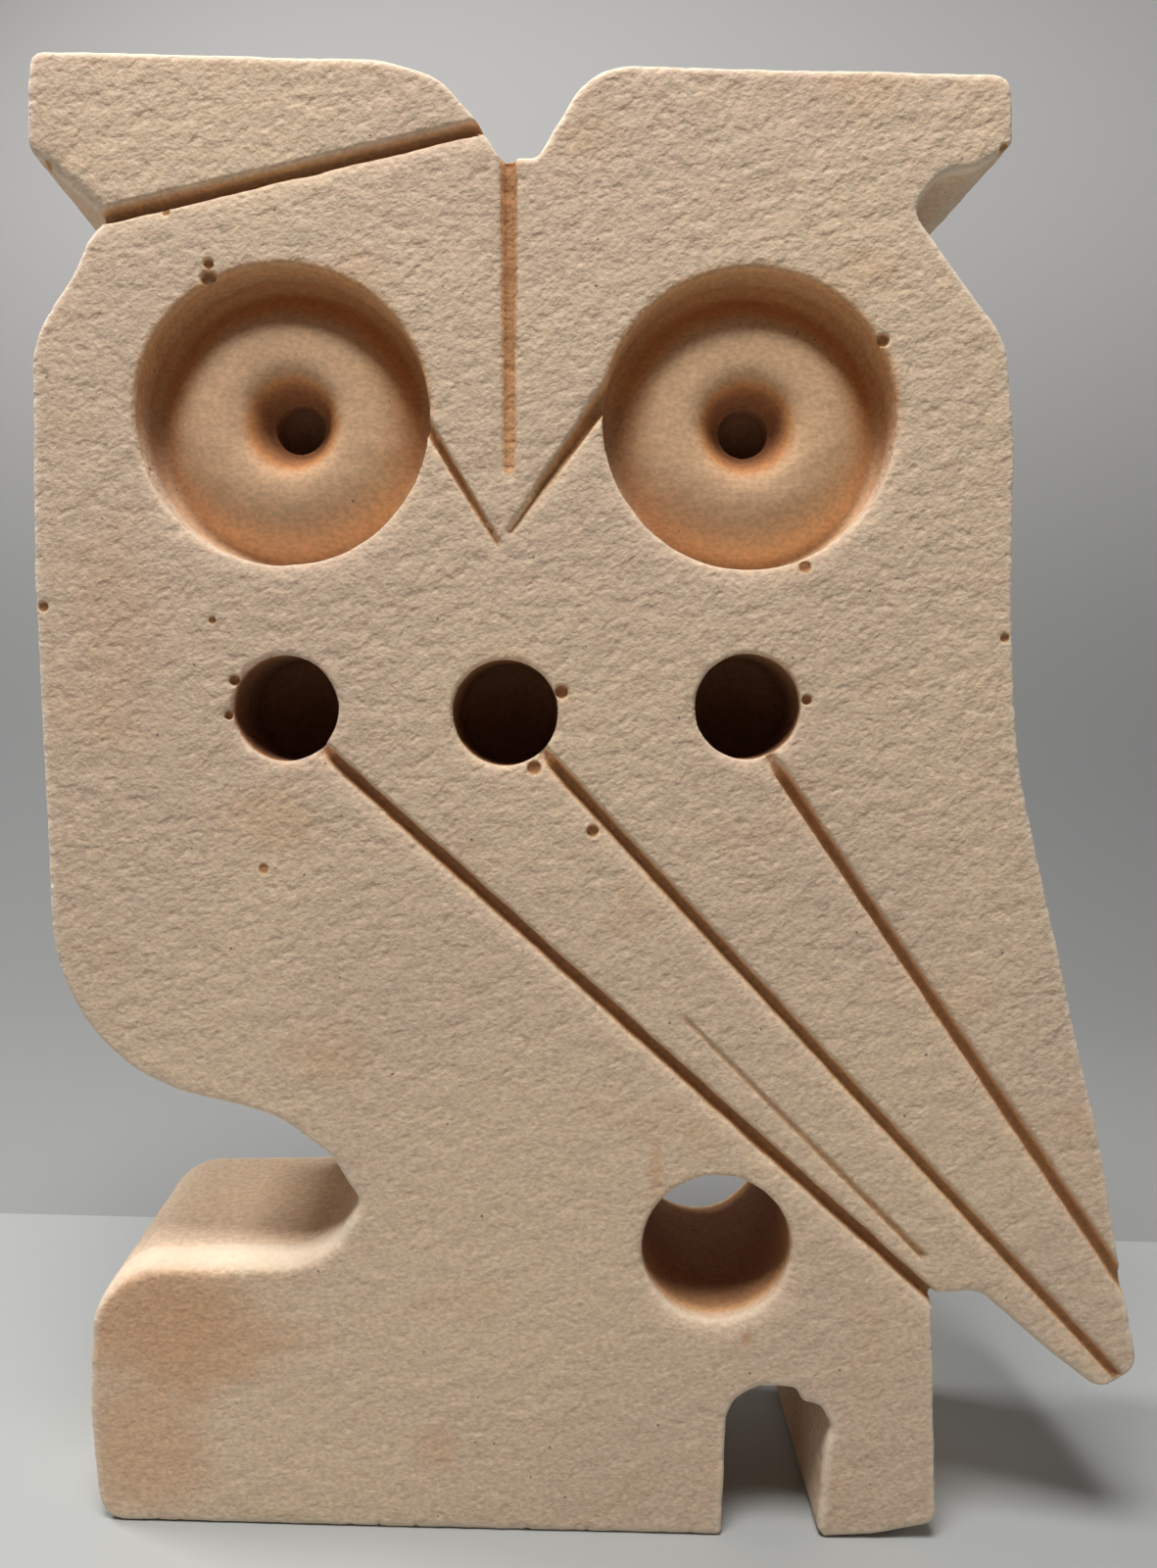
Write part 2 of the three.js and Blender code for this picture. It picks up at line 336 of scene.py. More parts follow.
def segment_distance(points, start, end):
    """Distance from points to a straight stretch, how far along it, and the side they lie on."""
    start, end = np.array(start, float), np.array(end, float)
    length = math.dist(start, end)
    along = (end - start) / length
    offset = points - start
    travel = offset @ along
    side = offset @ np.array([-along[1], along[0]])
    past = np.maximum(np.maximum(-travel, travel - length), 0)
    return np.hypot(side, past), np.clip(travel / length, 0, 1), side


def inside(points, loop):
    """True where a point lies inside a closed loop."""
    found = np.zeros(len(points), bool)
    x, z = points[:, 0], points[:, 1]
    for (ax, az), (bx, bz) in zip(loop, np.roll(loop, -1, axis=0)):
        if az != bz:
            crosses = ((az > z) != (bz > z)) & (x < (bx - ax) * (z - az) / (bz - az) + ax)
            found ^= crosses
    return found


def nearest(points, targets):
    """For each point, the index of its nearest target and the distance to it."""
    tree = kdtree.KDTree(len(targets))
    for i, (x, z) in enumerate(targets):
        tree.insert((x, z, 0), i)
    tree.balance()
    found = [tree.find((x, z, 0)) for x, z in points]
    return np.array([f[1] for f in found]), np.array([f[2] for f in found])


# Outline and rings

def rounded_loop(corners, step):
    """Points along an outline with rounded corners, and each point's place in the list of corners."""
    places = np.array([corner[:2] for corner in corners], float)
    points, along = [], []
    for i, (x, z, radius) in enumerate(corners):
        corner = places[i]
        before = places[i - 1] - corner
        after = places[(i + 1) % len(corners)] - corner
        before /= np.hypot(*before)
        after /= np.hypot(*after)
        half_angle = math.acos(np.clip(before @ after, -1, 1)) / 2
        reach = radius / math.tan(half_angle)
        middle = before + after
        centre = corner + middle / np.hypot(*middle) * radius / math.sin(half_angle)
        start = math.atan2(*(corner + before * reach - centre)[::-1])
        end = math.atan2(*(corner + after * reach - centre)[::-1])
        turn = (end - start + math.pi) % (2 * math.pi) - math.pi
        steps = max(3, math.ceil(abs(turn) * radius / step)) if radius < 50 else 2
        for angle in start + turn * np.linspace(0, 1, steps + 1):
            points.append(centre + radius * np.array([math.cos(angle), math.sin(angle)]))
            along.append(i)
    return fill_in(np.array(points), np.array(along, float), len(corners), step)


def fill_in(points, along, count, step):
    """Divides the straight stretches of a loop into steps."""
    filled, places = [], []
    for i in range(len(points)):
        following = (i + 1) % len(points)
        pieces = max(1, round(math.dist(points[i], points[following]) / step))
        climb = (along[following] - along[i]) % count
        for share in np.arange(pieces) / pieces:
            filled.append(points[i] + (points[following] - points[i]) * share)
            places.append(along[i] + climb * share)
    return np.array(filled), np.array(places)


def inward(loop):
    """Unit vectors that point into an anticlockwise loop."""
    tangent = np.roll(loop, -1, axis=0) - np.roll(loop, 1, axis=0)
    tangent /= np.linalg.norm(tangent, axis=1)[:, None]
    return np.column_stack([-tangent[:, 1], tangent[:, 0]])


def loop_distance(points, loop):
    """Each point's nearest loop point and its distance to the loop's line."""
    index, _ = nearest(points, loop)
    best = np.full(len(points), np.inf)
    for step in (-1, 0):
        start = loop[(index + step) % len(loop)]
        span = loop[(index + step + 1) % len(loop)] - start
        share = np.clip(((points - start) * span).sum(1) / (span**2).sum(1), 0, 1)
        gap = points - start - span * share[:, None]
        best = np.minimum(best, np.hypot(gap[:, 0], gap[:, 1]))
    return index, best


def ring(centre, radius, step=ROW_STEP, count=None):
    """Points round a circle, anticlockwise. radius may vary with the angle."""
    if count is None:
        count = round(2 * math.pi * radius / step)
    angles = np.arange(count) * 2 * math.pi / count
    return np.array(centre) + radius * np.column_stack([np.cos(angles), np.sin(angles)])


def hex_grid(lowest, highest, step):
    """A grid of equal triangles, shaken a little so that no pattern shows."""
    rows = np.arange(lowest[1], highest[1], step * math.sqrt(3) / 2)
    line = np.arange(lowest[0], highest[0], step)
    points = np.concatenate([
        np.column_stack([line + step / 2 * (k % 2), np.full(len(line), z)])
        for k, z in enumerate(rows)
    ])
    shake = np.random.default_rng(SEED).uniform(-0.12, 0.12, points.shape) * step
    return points + shake


# The mesh

class Shell:
    """One closed mesh, gathered piece by piece."""

    def __init__(self):
        self.points = []
        self.faces = []
        self.looks = {"grime": [], "worn": [], "stain": [], "polish": []}

    def add(self, points, **looks):
        """Adds points with their share of grime and painted shade, wear and painted highlight, stain, and
        eye polish and painted glow; returns their numbers.
        """
        first = len(self.points)
        self.points.extend(np.asarray(points, float).tolist())
        for name, values in self.looks.items():
            values.extend(np.broadcast_to(looks.get(name, 0.0), len(points)).tolist())
        return np.arange(first, len(self.points))

    def join(self, one, other):
        """Quads between two rings of equal length."""
        for i in range(len(one)):
            self.faces.append((one[i - 1], one[i], other[i], other[i - 1]))

    def wall(self, start, end, rows, grime=lambda share: 0.0):
        """A wall between two rings that are there already."""
        from_points = np.array([self.points[i] for i in start])
        to_points = np.array([self.points[i] for i in end])
        previous = start
        for k in range(1, rows):
            share = k / rows
            level = from_points + (to_points - from_points) * share
            current = self.add(level, grime=grime(share))
            self.join(previous, current)
            previous = current
        self.join(previous, end)

    def cone(self, start, tip, rows, grime):
        """Closes a ring with a cone."""
        from_points = np.array([self.points[i] for i in start])
        previous = start
        for k in range(1, rows):
            current = self.add(from_points + (np.array(tip) - from_points) * k / rows, grime=grime)
            self.join(previous, current)
            previous = current
        last = self.add([tip], grime=grime)[0]
        for i in range(len(previous)):
            self.faces.append((previous[i - 1], previous[i], last))


class Sheet:
    """A flat region with rings as its borders, filled with points and then triangles."""

    def __init__(self, loops):
        self.loops = loops
        self.points = np.concatenate(loops)

    def draw(self, points, gap):
        """Adds points that lie inside the borders and at least `gap` from those already there."""
        keep = inside(points, self.loops[0])
        for hole in self.loops[1:]:
            keep &= ~inside(points, hole)
        points = points[keep]
        _, distance = nearest(points, self.points)
        self.points = np.concatenate([self.points, points[distance > gap]])

    def border(self, number):
        """The point numbers of one border."""
        first = sum(len(loop) for loop in self.loops[:number])
        return np.arange(first, first + len(self.loops[number]))

    def triangles(self):
        """Delaunay triangles between the borders."""
        edges = []
        for number in range(len(self.loops)):
            border = self.border(number).tolist()
            edges.extend(zip(border, border[1:] + border[:1]))
        flat = [Vector(point) for point in self.points.tolist()]
        _, _, faces, origin, _, _ = geometry.delaunay_2d_cdt(flat, edges, [], 1, 1e-7)
        name = [number[0] for number in origin]
        found = np.array([[name[corner] for corner in face] for face in faces])
        for number in range(1, len(self.loops)):
            border = self.border(number)
            suspect = np.isin(found, border).all(axis=1)
            centres = self.points[found[suspect]].mean(axis=1)
            drop = np.flatnonzero(suspect)[inside(centres, self.loops[number])]
            found = np.delete(found, drop, axis=0)
        return found


# The relief of the front face

def edge_wear(points):
    """Reach and drop of the worn arris at points of the outline."""
    reach = np.full(len(points), EDGE_REACH)
    drop = np.full(len(points), EDGE_DROP)
    for place in EXTRA_WEAR:
        distance, _, _ = segment_distance(points, *place["ends"])
        share = smooth_step(distance, place["spread"] * 2, 0.0)
        reach += place["reach"] * share
        drop += place["drop"] * share
    uneven = 1 + 0.25 * ripple_flat(points, 5, seed=1)
    return reach * uneven, drop * uneven


def rim_wear(points, hole):
    """Depth of the worn rim round a hole: a rounded arris and a soft slope below the hole."""
    offset = points - np.array(hole["at"])
    radius = np.hypot(offset[:, 0], offset[:, 1])
    upward = offset[:, 1] / np.maximum(radius, 1e-6)
    lower = smooth_step(upward, 0.5, -0.8)
    distance = np.maximum(radius - hole["radius"], 0)
    ragged = 1 + 0.5 * ripple_flat(points, 1.8, seed=8)
    arris = ragged * (hole["arris"][0] + (hole["arris"][1] - hole["arris"][0]) * lower)
    slope = np.clip(1 - distance / hole["slope"][0], 0, 1) ** 3 * hole["slope"][1] * lower
    return worn_depth(distance, arris, arris) + slope


def line_relief(points, line):
    """Depth of a sawn line with worn lips, its grime and painted shade, and its lip, painted paler as a
    highlight mostly on the lower side.
    """
    start, end = line["ends"]
    length = math.dist(start, end)
    distance, share, side = segment_distance(points, start, end)
    (width_a, width_b), (depth_a, depth_b) = line["width"], line["depth"]
    half = (width_a + (width_b - width_a) * share) / 2
    floor = depth_a + (depth_b - depth_a) * share
    half = half * (1 + 0.12 * ripple_flat(points, 2.5, seed=2))
    core = smooth_step(distance / half, 1.1, 0.4)
    lower = smooth_step(side * (end[0] - start[0]), 1.0, -1.0)
    lip = np.clip(1 - (distance - half) / LIP_REACH, 0, 1) ** 2 * LIP_DROP * np.minimum(floor, 1)
    # the lower lip faces up: it is worn deeper and painted paler as a highlight
    lip = lip * (0.2 + 0.8 * lower)
    ends = smooth_step(share * length, 0.5, 4) if line.get("worn_start") else 1.0
    return np.maximum(floor * core, lip), core * np.minimum(floor, 1) * ends, lip


def stain_share(points):
    """How strongly the orange stains show at points of the front face."""
    share = np.zeros(len(points))
    ragged = 1 + 0.35 * ripple_flat(points, 4.5, seed=6) + 0.15 * ripple_flat(points, 1.5, seed=7)
    for x, z, half_width, half_height, strength in STAINS:
        reach = np.hypot((points[:, 0] - x) / half_width, (points[:, 1] - z) / half_height)
        share = np.maximum(share, strength * smooth_step(reach * ragged, 1.15, 0.35))
    return share


def pore_relief(points, pore):
    """Depth of one pore, and its share of grime and painted shade."""
    x, z, radius, depth = pore
    distance = np.hypot(points[:, 0] - x, points[:, 1] - z)
    share = smooth_step(distance, radius * 1.15, radius * 0.75)
    return depth * share, share


def eye_rim_shade(points, eye):
    """Painted brown shade that spreads a little over the upper rim of an eye, only on its upper side."""
    offset = points - np.array(eye["at"])
    radius = np.hypot(offset[:, 0], offset[:, 1])
    upward = smooth_step(offset[:, 1] / np.maximum(radius, 1e-6), -0.2, 0.5)
    return EYE_RIM_SHADE * upward * smooth_step(radius, EYE_RIM_RADIUS + 0.9, EYE_RIM_RADIUS)


def front_relief(points, loop, reach, drop):
    """Depth, sideways slip, grime and painted shade, and wear and painted highlight at points of the front
    face.
    """
    index, distance = loop_distance(points, loop)
    edge = worn_depth(distance, reach[index], drop[index])
    depth = edge.copy()
    grime = np.zeros(len(points))
    # wear and painted highlight: pale along the edges, with rims and lips that face up painted paler still
    worn = smooth_step(distance, 1.4, 0.0)
    for hole in HOLES:
        rim = rim_wear(points, hole)
        worn = np.maximum(worn, 0.6 * smooth_step(rim, 0, 0.6))
        depth = np.maximum(depth, rim)
    # painted shade over the upper rims of the eyes
    for eye in EYES:
        grime = np.maximum(grime, eye_rim_shade(points, eye))
    for line in SAWN_LINES.values():
        line_depth, line_grime_and_shade, lip = line_relief(points, line)
        depth = np.maximum(depth, line_depth)
        worn = np.maximum(worn, lip)
        grime = np.maximum(grime, LINE_GRIME_AND_SHADE * line_grime_and_shade)
    for pore in PORES:
        pore_depth, pore_share = pore_relief(points, pore)
        depth = np.maximum(depth, pore_depth)
        grime = np.maximum(grime, PORE_GRIME_AND_SHADE * pore_share)
    return depth, index, edge, grime, worn


def front_sheet(loop):
    """All points of the front face, placed where the relief needs them."""
    sheet = Sheet([loop] + [ring(hole["at"], hole["radius"]) for hole in HOLES])
    for x, z, radius, _ in PORES:
        sheet.draw(np.array([[x, z]]), 0.1)
        for share in PORE_RINGS:
            sheet.draw(ring((x, z), radius * share, 0.3), 0.1)
    for hole in HOLES:
        for offset in RIM_ROWS:
            sheet.draw(ring(hole["at"], hole["radius"] + offset), 0.09)
    normals = inward(loop)
    for offset in EDGE_ROWS:
        row = loop + normals * offset
        _, distance = loop_distance(row, loop)
        sheet.draw(row[distance > offset * 0.9], 0.08)
    for line in SAWN_LINES.values():
        draw_line(sheet, line)
    sheet.draw(hex_grid(loop.min(0), loop.max(0), FACE_STEP), FACE_STEP * 0.62)
    return sheet


def draw_line(sheet, line):
    """Rows of points along a sawn line."""
    start, end = (np.array(place, float) for place in line["ends"])
    length = math.dist(start, end)
    along = (end - start) / length
    across = np.array([-along[1], along[0]])
    half = max(line["width"]) / 2
    for side in LINE_ROWS:
        for sign in (-1, 1) if side else (1,):
            steps = np.arange(-1.0, length + 1.0, ROW_STEP)
            row = start + along * steps[:, None] + across * side * half * sign
            sheet.draw(row, 0.12)


def dome_depth(radius):
    """Depth of the ring-shaped dome at a radius from the pupil."""
    inward_share = np.clip((DOME_CREST_RADIUS - radius) / (DOME_CREST_RADIUS - PUPIL_RADIUS), 0, 1)
    funnel = PUPIL_FUNNEL * (1 - np.sqrt(1 - inward_share**FUNNEL_POWER))
    outward = np.maximum(radius - DOME_CREST_RADIUS, 0)
    dome = DOME_CREST_DEPTH + funnel + DOME_FALL * outward**2
    past_corner = np.clip(radius - EYE_RADIUS + EYE_CORNER, 0, EYE_CORNER)
    corner = EYE_DEPTH - EYE_CORNER + np.sqrt(EYE_CORNER**2 - past_corner**2)
    return soft_minimum(dome, corner, 0.4)


def hollow_shade(offset):
    """Painted shade in the upper half of the hollow round the dome, where the rim casts its shadow."""
    radius = np.hypot(offset[:, 0], offset[:, 1])
    upward = smooth_step(offset[:, 1] / np.maximum(radius, 1e-6), -0.6, 0.6)
    return smooth_step(radius, *HOLLOW) * EYE_TOP_SHADE * upward


def eye_floor(shell, eye, rim):
    """The wall, dome and pupil of one eye, hung on its rim."""
    centre = np.array(eye["at"])
    pupil = centre + (eye["pupil_shift"], 0)
    outer = ring(centre, EYE_RADIUS, count=len(rim))
    sheet = Sheet([outer, ring(pupil, PUPIL_RADIUS, 0.45)])
    for offset in EYE_WALL_ROWS:
        sheet.draw(ring(centre, EYE_RADIUS - offset), 0.1)
    for offset in PUPIL_ROWS:
        sheet.draw(ring(pupil, PUPIL_RADIUS + offset, 0.45), 0.1)
    sheet.draw(hex_grid(outer.min(0), outer.max(0), FACE_STEP), FACE_STEP * 0.62)

    offset = sheet.points - centre
    rough = np.hypot(offset[:, 0], offset[:, 1])
    shift = np.clip(1 - (rough - PUPIL_RADIUS) / (DOME_CREST_RADIUS - PUPIL_RADIUS), 0, 1)
    offset[:, 0] -= eye["pupil_shift"] * shift
    radius = np.hypot(offset[:, 0], offset[:, 1])
    depth = dome_depth(radius)
    # painted shade over the upper hollow, then grime and painted shade in the pupil's funnel
    grime = hollow_shade(offset)
    grime = np.maximum(grime, PUPIL_GRIME_AND_SHADE * smooth_step(radius, *PUPIL_GRIME_AND_SHADE_RADII))
    # the eye floor is marked for its smoother grain and for its painted amber glow
    numbers = shell.add(np.column_stack([sheet.points[:, 0], FRONT + depth, sheet.points[:, 1]]),
                        grime=grime, polish=1.0)
    shell.faces.extend(map(tuple, numbers[sheet.triangles()].tolist()))
    # painted shade on the upper part of the eye's wall
    wall_shade = hollow_shade(outer - centre)
    shell.wall(rim, numbers[sheet.border(0)], 8, lambda share: wall_shade)

    lip = numbers[sheet.border(1)]
    bottom = ring(pupil, PUPIL_RADIUS, count=len(lip))
    bottom = np.column_stack([bottom[:, 0], np.full(len(lip), FRONT + PUPIL_DEPTH), bottom[:, 1]])
    # grime and painted shade down the pupil
    floor = shell.add(bottom, grime=PUPIL_GRIME_AND_SHADE)
    shell.wall(lip, floor, 6, lambda share: PUPIL_GRIME_AND_SHADE)
    shell.cone(floor, (pupil[0], FRONT + PUPIL_DEPTH + PUPIL_POINT, pupil[1]), 4, PUPIL_GRIME_AND_SHADE)


def breast_hole(shell, at, rim):
    """A blind drilled hole below its rim."""
    floor = ring(at, BREAST_HOLE_RADIUS, count=len(rim))
    level = np.full(len(rim), FRONT + BREAST_HOLE_DEPTH)
    floor = shell.add(np.column_stack([floor[:, 0], level, floor[:, 1]]), grime=BREAST_HOLE_GRIME_AND_SHADE)
    # grime and painted shade on the drilled hole's wall and point
    shell.wall(rim, floor, 14, lambda share: BREAST_HOLE_GRIME_AND_SHADE * min(1, share * 8))
    tip = (at[0], FRONT + BREAST_HOLE_DEPTH + DRILL_POINT, at[1])
    shell.cone(floor, tip, 7, BREAST_HOLE_GRIME_AND_SHADE)


def front_face(shell, loop, lean):
    """The relief of the front face. Returns its point numbers and the sheet they were drawn on."""
    sheet = front_sheet(loop)
    depth, index, edge, grime, worn = front_relief(sheet.points, loop, *edge_wear(loop))
    x = sheet.points[:, 0] - lean[index] * edge / THICKNESS
    front = shell.add(np.column_stack([x, FRONT + depth, sheet.points[:, 1]]),
                      grime=grime, worn=worn, stain=stain_share(sheet.points))
    shell.faces.extend(map(tuple, front[sheet.triangles()].tolist()))
    return front, sheet


def back_face(shell, loop, hole_count):
    """The plain back with its worn arrises. Returns its point numbers and its sheet."""
    centre = np.array([FOOT_HOLE[0] + DRILL_LEAN, FOOT_HOLE[1]])
    sheet = Sheet([loop, ring(centre, FOOT_HOLE_RADIUS, count=hole_count)])
    normals = inward(loop)
    for offset in BACK_ROWS:
        row = loop + normals * offset
        _, distance = loop_distance(row, loop)
        sheet.draw(row[distance > offset * 0.9], 0.2)
    sheet.draw(hex_grid(loop.min(0), loop.max(0), BACK_STEP), BACK_STEP * 0.62)
    _, distance = loop_distance(sheet.points, loop)
    from_hole = np.hypot(*(sheet.points - centre).T) - FOOT_HOLE_RADIUS
    rounding = np.maximum(worn_depth(distance, EDGE_REACH, EDGE_DROP),
                          worn_depth(np.maximum(from_hole, 0), EDGE_REACH, EDGE_DROP))
    y = FRONT + THICKNESS - rounding
    back = shell.add(np.column_stack([sheet.points[:, 0], y, sheet.points[:, 1]]),
                     worn=smooth_step(distance, 1.4, 0.0))
    shell.faces.extend(map(tuple, back[sheet.triangles()].tolist()))
    return back, sheet


def build_shell():
    """The whole owl as one closed mesh."""
    shell = Shell()
    loop, along = rounded_loop(LEFT_SIDE + FOOT_SLOT + RIGHT_SIDE, EDGE_STEP)
    leans = corner_leans()
    lean = np.interp(along, range(len(leans)), leans)
    front, sheet = front_face(shell, loop, lean)
    back_loop = loop - np.column_stack([lean, np.zeros(len(loop))])
    back, back_sheet = back_face(shell, back_loop, len(sheet.loops[-1]))

    rows = round(THICKNESS / WALL_STEP)
    shell.wall(front[sheet.border(0)], back[back_sheet.border(0)], rows)
    for number, eye in enumerate(EYES, 1):
        eye_floor(shell, eye, front[sheet.border(number)])
    for number, at in enumerate(BREAST_HOLES, 1 + len(EYES)):
        breast_hole(shell, at, front[sheet.border(number)])
    # grime and painted shade just inside the through hole's front
    shell.wall(front[sheet.border(len(HOLES))], back[back_sheet.border(1)], rows,
               lambda share: FOOT_HOLE_GRIME_AND_SHADE * smooth_step(share, 0, 0.12))
    return shell


def corner_leans():
    """The lean of the saw at each corner: the slot was cut straight."""
    return ([SAW_LEAN] * len(LEFT_SIDE) + [0.0] * len(FOOT_SLOT)
            + [SAW_LEAN] * (len(RIGHT_SIDE) + 1))


def sandblast(mesh):
    """Moves each point along its normal by layers of noise, and keeps the mesh in the slab's box."""
    count = len(mesh.vertices)
    places = np.zeros(count * 3)
    normals = np.zeros(count * 3)
    mesh.vertices.foreach_get("co", places)
    mesh.vertices.foreach_get("normal", normals)
    points = places.reshape(-1, 3) / MM
    height = -BLAST_DEPTH
    for seed, (size, amount) in enumerate(BLAST, 3):
        height = height + amount * ripple(points * (1, 1, 1.3), size, seed)
    points += normals.reshape(-1, 3) * height[:, None]
    points = np.clip(points, low, high)
    mesh.vertices.foreach_set("co", (points * MM).ravel())
    mesh.update()


def build_owl():
    """The owl's mesh object, in place of the CAD node."""
    shell = build_shell()
    mesh = bpy.data.meshes.new("stone_owl")
    mesh.from_pydata((np.array(shell.points) * MM).tolist(), [], [tuple(map(int, f)) for f in shell.faces])
    for name, values in shell.looks.items():
        attribute = mesh.attributes.new(name, "FLOAT", "POINT")
        attribute.data.foreach_set("value", np.array(values, np.float32))
    work = bmesh.new()
    work.from_mesh(mesh)
    bmesh.ops.triangulate(work, faces=[face for face in work.faces if len(face.verts) > 3])
    bmesh.ops.recalc_face_normals(work, faces=work.faces)
    work.to_mesh(mesh)
    work.free()
    sandblast(mesh)
    mesh.shade_smooth()
    owl = bpy.data.objects.new("stone_owl", mesh)
    bpy.context.scene.collection.objects.link(owl)
    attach(owl, "root")
    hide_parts(NODE)
    return owl


# Materials

def add_node(tree, kind, inputs=None, **settings):
    """A shader node with its settings and inputs. An input is a value or another node's output."""
    made = tree.nodes.new(kind)
    for name, value in settings.items():
        setattr(made, name, value)
    for socket, value in (inputs or {}).items():
        if isinstance(value, bpy.types.NodeSocket):
            tree.links.new(value, made.inputs[socket])
        else:
            made.inputs[socket].default_value = value
    return made


def ramp(tree, value, stops):
    """A colour ramp with stops of position and colour."""
    made = add_node(tree, "ShaderNodeValToRGB", {"Fac": value})
    elements = made.color_ramp.elements
    while len(elements) < len(stops):
        elements.new(0.5)
    for element, (position, colour) in zip(elements, stops):
        element.position = position
        element.color = (*colour, 1)
    return made.outputs["Color"]


def mix(tree, share, one, other, blend="MIX"):
    """One colour blended into another by a share. Each is a value or another node's output."""
    made = add_node(tree, "ShaderNodeMix", data_type="RGBA", blend_type=blend)
    for socket, value in ((made.inputs[0], share), (made.inputs[6], one), (made.inputs[7], other)):
        if isinstance(value, bpy.types.NodeSocket):
            tree.links.new(value, socket)
        elif isinstance(value, tuple):
            socket.default_value = (*value, 1)
        else:
            socket.default_value = value
    return made.outputs[2]


def noise_field(tree, place, scale, detail=2.0, stretch=(1, 1, 1), roughness=0.5):
    """Noise with `scale` waves to the millimetre."""
    mapped = add_node(tree, "ShaderNodeMapping", {"Vector": place, "Scale": stretch})
    made = add_node(tree, "ShaderNodeTexNoise", {
        "Vector": mapped.outputs["Vector"], "Scale": scale, "Detail": detail, "Roughness": roughness})
    return made.outputs["Fac"]


def remap(tree, value, low_in, high_in, low_out=0.0, high_out=1.0):
    """A value carried from one range to another along an S."""
    made = add_node(tree, "ShaderNodeMapRange", {
        "Value": value, "From Min": low_in, "From Max": high_in,
        "To Min": low_out, "To Max": high_out}, interpolation_type="SMOOTHSTEP")
    return made.outputs["Result"]


def stone_material():
    """Mottled cream stone with stains and specks, pale worn edges with painted highlight on the lips that
    face up, grime and painted shade in the hollows, painted shade in the eyes' upper halves and a painted
    amber glow on the eye floors.
    """
    material = bpy.data.materials.new("sandblasted_stone")
    material.use_nodes = True
    tree = material.node_tree
    shader = tree.nodes["Principled BSDF"]
    coordinates = add_node(tree, "ShaderNodeTexCoord")
    place = add_node(tree, "ShaderNodeMapping", {
        "Vector": coordinates.outputs["Object"], "Scale": (1 / MM,) * 3}).outputs["Vector"]

    mottle = noise_field(tree, place, 0.035, 2.0)
    colour = mix(tree, remap(tree, mottle, 0.38, 0.64), STONE_CREAM, STONE_PINK)
    veil = noise_field(tree, place, 0.06, 3.0, (1, 1, 1.3))
    colour = mix(tree, remap(tree, veil, 0.56, 0.74, 0.0, 0.5), colour, STONE_OCHRE)
    stain = add_node(tree, "ShaderNodeAttribute", attribute_name="stain").outputs["Fac"]
    colour = mix(tree, stain, colour, STONE_ORANGE)
    # painted glow: the eye floors are tinted amber as if lit by light bounced inside them
    polish = add_node(tree, "ShaderNodeAttribute", attribute_name="polish").outputs["Fac"]
    colour = mix(tree, polish, colour, mix(tree, 1.0, colour, EYE_BOUNCE_GLOW, "MULTIPLY"))
    grain = noise_field(tree, place, 1.6, 2.0, (1, 1, 1.6), 0.6)
    shade = remap(tree, grain, 0.3, 0.7, 0.86, 1.1)
    colour = scaled(tree, colour, shade)

    # wear and painted highlight: worn edges turn pale, and lips that face up are painted paler as a
    # highlight
    worn = add_node(tree, "ShaderNodeAttribute", attribute_name="worn").outputs["Fac"]
    colour = mix(tree, remap(tree, worn, 0.1, 1.0, 0.0, 0.55), colour, STONE_PALE)
    specks = speck_mask(tree, place)
    colour = mix(tree, specks, colour, SPECK_GREY)
    # grime and painted shade: the colour is darkened for dirt in the hollows and for shade in them and in
    # the upper eyes
    grime = add_node(tree, "ShaderNodeAttribute", attribute_name="grime").outputs["Fac"]
    grime_and_shade_tint = ramp(tree, grime, GRIME_AND_SHADE_TINTS)
    colour = mix(tree, 1.0, colour, grime_and_shade_tint, "MULTIPLY")

    tree.links.new(colour, shader.inputs["Base Color"])
    shader.inputs["Roughness"].default_value = 0.85
    shader.inputs["Specular IOR Level"].default_value = 0.3
    shader.inputs["Subsurface Weight"].default_value = 0.2
    shader.inputs["Subsurface Radius"].default_value = (1.0, 0.45, 0.2)
    shader.inputs["Subsurface Scale"].default_value = 1.5 * MM
    tree.links.new(grain_bump(tree, place), shader.inputs["Normal"])
    return material


def scaled(tree, colour, factor):
    """A colour made lighter or darker by a factor."""
    made = add_node(tree, "ShaderNodeVectorMath", operation="SCALE")
    tree.links.new(colour, made.inputs[0])
    tree.links.new(factor, made.inputs["Scale"])
    return made.outputs["Vector"]


def speck_mask(tree, place):
    """Tiny dark grains, of many sizes and far apart."""
    cells = add_node(tree, "ShaderNodeTexVoronoi", {"Vector": place, "Scale": 0.55})
    size = add_node(tree, "ShaderNodeSeparateColor", {"Color": cells.outputs["Color"]})
    limit = remap(tree, size.outputs["Red"], 0.55, 1.0, 0.0, 0.11)
    near = add_node(tree, "ShaderNodeMath", {0: limit, 1: cells.outputs["Distance"]},
                    operation="SUBTRACT")
    return remap(tree, near.outputs["Value"], 0.0, 0.05, 0.0, 0.75)


